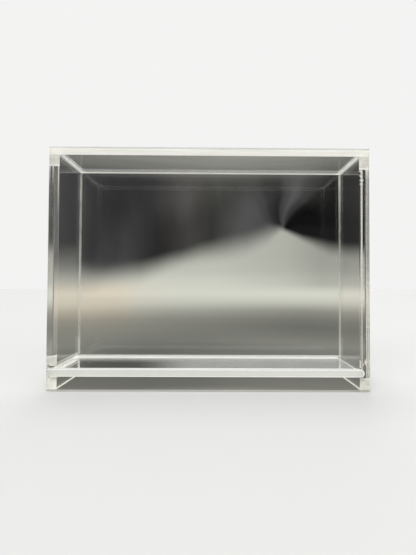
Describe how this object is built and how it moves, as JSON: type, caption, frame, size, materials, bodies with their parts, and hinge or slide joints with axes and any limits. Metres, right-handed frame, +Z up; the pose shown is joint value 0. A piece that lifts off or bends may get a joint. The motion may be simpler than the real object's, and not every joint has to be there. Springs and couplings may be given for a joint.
{
  "type": "video game box display case",
  "caption": "Clear acrylic display case for one boxed cartridge game, with a base panel that slides out sideways in routed grooves.",
  "frame": {"origin": "on the surface that the case stands on, under the middle of the case", "axes": "+Z up, +X along the length to the right and +Y to the back, seen from the front; the base slides out along -X"},
  "size_m": [0.196, 0.044, 0.1487],
  "materials": {
    "clear_acrylic": "polished"
  },
  "bodies": {
    "case": {"front_panel": "clear_acrylic", "back_panel": "clear_acrylic", "top_panel": "clear_acrylic", "right_wall": "clear_acrylic", "left_wall": "clear_acrylic", "left_sill": "clear_acrylic"},
    "base": {"slide_base": "clear_acrylic"}
  },
  "joints": [
    {"name": "base_slide", "type": "slide", "parent": "case", "child": "base", "axis": [-1, 0, 0], "range_m": [0, 0.191]}
  ]
}
